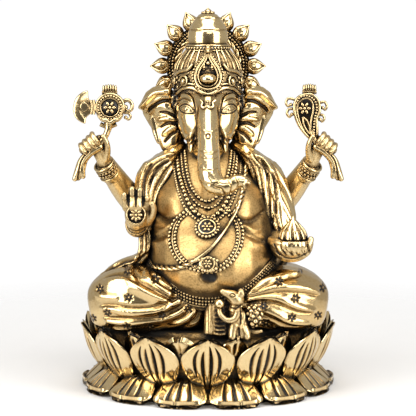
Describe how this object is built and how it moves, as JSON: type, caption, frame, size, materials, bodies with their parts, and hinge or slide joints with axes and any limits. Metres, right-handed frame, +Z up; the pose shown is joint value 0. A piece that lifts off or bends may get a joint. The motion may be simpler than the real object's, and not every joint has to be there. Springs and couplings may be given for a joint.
{
  "type": "deity statuette",
  "caption": "Cast brass figure of a seated elephant-headed deity with four arms, a tall crown and a halo, on a double lotus base with a mouse at its feet.",
  "frame": {"origin": "centre of the base's underside, on the surface it stands on", "axes": "+Z up, -Y to the front of the figure, +X to the viewer's right"},
  "size_m": [0.1092, 0.1016, 0.1509],
  "materials": {
    "satin_brass": "satin, fine cast grain with dark patina in the recesses",
    "polished_brass": "polished, with dark patina in the recesses",
    "dark_brass": "matte antique patina"
  },
  "bodies": {
    "root": {"plinth": "dark_brass", "seat_cushion": "dark_brass", "upper_petals": "satin_brass", "inner_petals": "satin_brass", "lower_petals": "satin_brass", "torso": "satin_brass", "right_leg": "polished_brass", "left_leg": "polished_brass", "dhoti_pleat": "dark_brass", "belt": "dark_brass", "belt_beads": "polished_brass", "sacred_thread": "polished_brass", "neck_beads": "polished_brass", "garland_beads": "polished_brass", "breast_medallion": "polished_brass", "navel_pendant": "polished_brass", "shawl_right": "polished_brass", "shawl_left": "polished_brass", "shawl_back": "polished_brass", "shawl_tail": "polished_brass", "front_right_arm": "satin_brass", "front_left_arm": "satin_brass", "rear_right_arm": "satin_brass", "rear_left_arm": "satin_brass", "front_right_hand": "satin_brass", "palm_rosette": "polished_brass", "front_left_hand": "satin_brass", "sweet_bowl": "polished_brass", "modak": "polished_brass", "rear_right_hand": "satin_brass", "rear_left_hand": "satin_brass", "bracelets": "polished_brass", "axe": "polished_brass", "axe_ribbon": "polished_brass", "noose": "polished_brass", "noose_ribbon": "polished_brass", "head": "satin_brass", "trunk": "polished_brass", "right_ear": "polished_brass", "left_ear": "polished_brass", "right_tusk": "satin_brass", "left_tusk": "satin_brass", "eyes": "polished_brass", "forehead_mark": "polished_brass", "crown_band": "polished_brass", "crown_jewel": "polished_brass", "crown_dome": "polished_brass", "crown_beads": "polished_brass", "crown_drum": "satin_brass", "crown_finial": "polished_brass", "halo_ring": "dark_brass", "halo_beads": "polished_brass", "halo_petals": "polished_brass", "halo_bracket": "dark_brass", "mouse": "satin_brass", "mouse_sweet": "polished_brass"}
  },
  "joints": []
}
